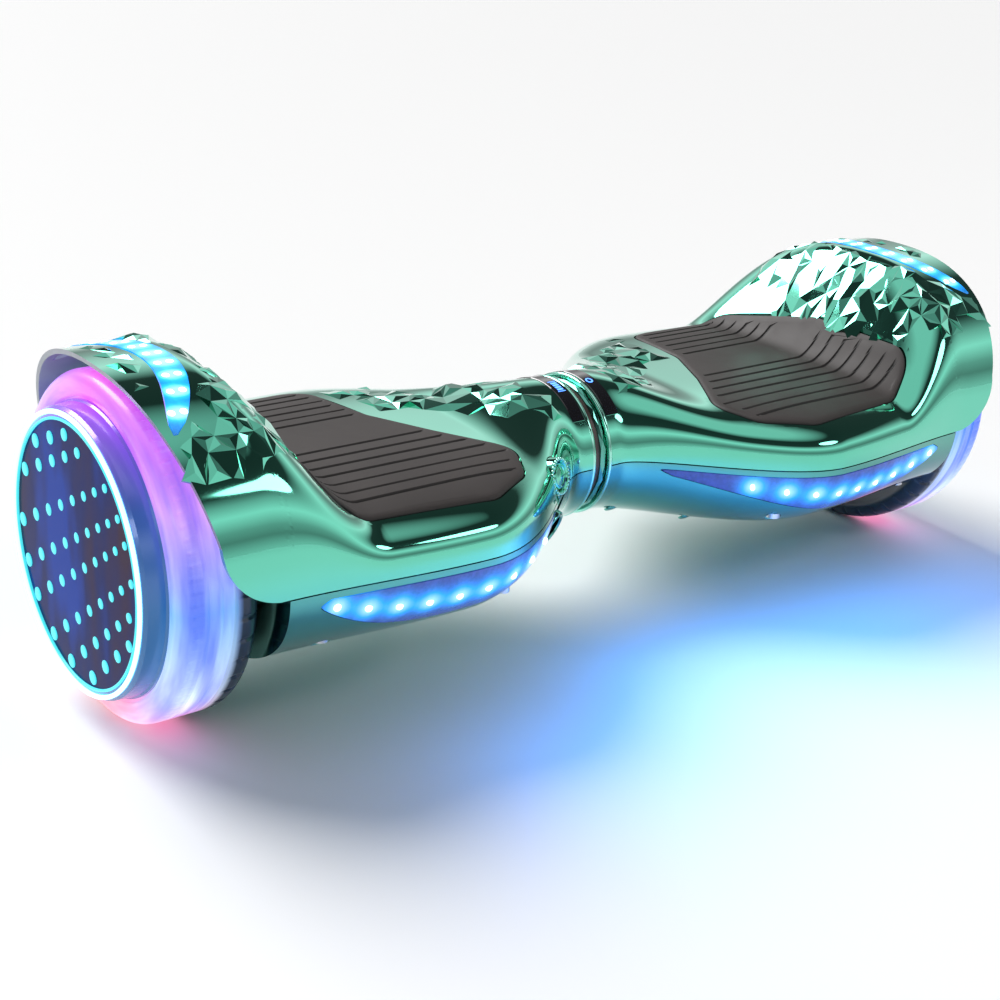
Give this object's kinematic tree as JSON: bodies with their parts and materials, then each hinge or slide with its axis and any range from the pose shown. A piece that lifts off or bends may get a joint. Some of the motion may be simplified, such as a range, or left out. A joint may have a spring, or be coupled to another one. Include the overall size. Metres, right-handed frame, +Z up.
{
  "type": "self balancing hoverboard",
  "caption": "Two-wheel self balancing board: two foot decks joined by a twisting centre pivot, a hub-motor wheel under a fender at each end.",
  "frame": {"origin": "on the floor, midway between the two wheels", "axes": "+X along the wheel axles towards the right wheel, -Y towards the front lamps, +Z up"},
  "size_m": [0.584, 0.212, 0.1774],
  "materials": {
    "chrome_shell": "mirror-plated green",
    "chrome_cover": "mirror-plated green",
    "chrome_trim": "mirror-plated",
    "cast_frame": "cast",
    "dark_steel": "blackened",
    "bright_steel": "turned",
    "windings": "enamelled copper wire on steel laminations",
    "blue_lens": "tinted clear plastic",
    "led_white": "glowing",
    "led_cyan": "glowing",
    "black_gloss": "gloss",
    "board_green": "solder mask",
    "pad_rubber": "grooved",
    "lit_tyre": "translucent, lit from within",
    "dark_rim": "painted",
    "magnet_grey": "nickel",
    "blue_bezel": "gloss",
    "dark_mirror": "tinted",
    "cap_glass": "half-silvered",
    "bush_bronze": "plain",
    "sleeve_brown": "moulded",
    "battery_wrap": "shrink wrap",
    "cell_body": "wrapped",
    "black_matte": "matt",
    "cable_rubber": "matt"
  },
  "bodies": {
    "left_half": {"left_top_shell": "chrome_shell", "left_bottom_cover": "chrome_cover", "left_chassis": "cast_frame", "left_axle_clamp": "cast_frame", "left_clamp_bolts": "dark_steel", "left_axle": "bright_steel", "left_stator": "windings", "left_headlight_lens": "blue_lens", "left_fender_light": "blue_lens", "left_led_strips": "led_white", "left_indicator_window": "black_gloss", "left_sensor_board": "board_green", "left_cover_screws": "bright_steel", "pivot_tube": "bright_steel", "pivot_snap_ring": "dark_steel", "pivot_sleeve": "sleeve_brown", "battery_case": "battery_wrap", "battery_cells": "cell_body", "button_bezel": "chrome_trim", "charge_socket": "black_gloss", "harness": "cable_rubber"},
    "right_half": {"right_top_shell": "chrome_shell", "right_bottom_cover": "chrome_cover", "right_chassis": "cast_frame", "right_axle_clamp": "cast_frame", "right_clamp_bolts": "dark_steel", "right_axle": "bright_steel", "right_stator": "windings", "right_headlight_lens": "blue_lens", "right_fender_light": "blue_lens", "right_led_strips": "led_white", "right_indicator_window": "black_gloss", "right_sensor_board": "board_green", "right_cover_screws": "bright_steel", "pivot_bush": "bush_bronze", "centre_ring": "chrome_shell", "main_board": "board_green", "heatsink": "cast_frame", "speaker": "black_matte"},
    "left_wheel": {"left_tyre": "lit_tyre", "left_rotor_rim": "dark_rim", "left_rotor_cover": "dark_rim", "left_magnets": "magnet_grey", "left_wheel_bearings": "bright_steel", "left_cap_housing": "blue_bezel", "left_cap_mirror": "dark_mirror", "left_cap_led_ring": "led_cyan", "left_cap_glass": "cap_glass"},
    "right_wheel": {"right_tyre": "lit_tyre", "right_rotor_rim": "dark_rim", "right_rotor_cover": "dark_rim", "right_magnets": "magnet_grey", "right_wheel_bearings": "bright_steel", "right_cap_housing": "blue_bezel", "right_cap_mirror": "dark_mirror", "right_cap_led_ring": "led_cyan", "right_cap_glass": "cap_glass"},
    "left_pedal": {"left_foot_pad": "pad_rubber"},
    "right_pedal": {"right_foot_pad": "pad_rubber"},
    "power_button": {"power_button": "chrome_shell"}
  },
  "joints": [
    {"name": "centre_twist", "type": "hinge", "parent": "left_half", "child": "right_half", "pos_m": [0, 0, 0.089], "axis": [1, 0, 0], "range_deg": [-10, 10]},
    {"name": "left_wheel_spin", "type": "hinge", "parent": "left_half", "child": "left_wheel", "pos_m": [-0.26, 0, 0.085], "axis": [1, 0, 0], "continuous": true},
    {"name": "right_wheel_spin", "type": "hinge", "parent": "right_half", "child": "right_wheel", "pos_m": [0.26, 0, 0.085], "axis": [1, 0, 0], "continuous": true},
    {"name": "left_pedal_press", "type": "slide", "parent": "left_half", "child": "left_pedal", "axis": [0, 0, -1], "range_m": [0, 0.002], "stiffness_N_per_m": 5000, "springref_m": -0.002},
    {"name": "right_pedal_press", "type": "slide", "parent": "right_half", "child": "right_pedal", "axis": [0, 0, -1], "range_m": [0, 0.002], "stiffness_N_per_m": 5000, "springref_m": -0.002},
    {"name": "power_button_press", "type": "slide", "parent": "left_half", "child": "power_button", "axis": [-0.4226, 0.8712, -0.2498], "range_m": [0, 0.0015], "stiffness_N_per_m": 800, "springref_m": -0.001}
  ]
}
